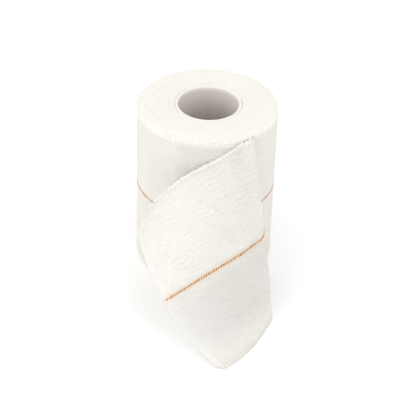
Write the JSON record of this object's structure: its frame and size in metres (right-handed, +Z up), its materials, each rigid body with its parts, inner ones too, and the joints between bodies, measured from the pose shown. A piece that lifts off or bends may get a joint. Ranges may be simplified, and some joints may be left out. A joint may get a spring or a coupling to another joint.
{
  "type": "elastic adhesive bandage roll",
  "caption": "Upright roll of cream elastic crepe bandage on a board core, its loose end folded back across the front; for strapping and supporting joints.",
  "frame": {"origin": "middle of the underside of the whole part, on the surface that it stands on", "axes": "+Z up along the roll's axis, -Y towards the loose end and the viewer, +X to the viewer's right"},
  "size_m": [0.0602, 0.1124, 0.0751],
  "materials": {
    "core_board": "pale grey wound board, matt",
    "crepe_cloth": "cream elastic crepe weave with a thin dotted orange centre line"
  },
  "bodies": {
    "root": {"core_tube": "core_board", "wound_roll": "crepe_cloth", "loose_end": "crepe_cloth"}
  },
  "joints": []
}
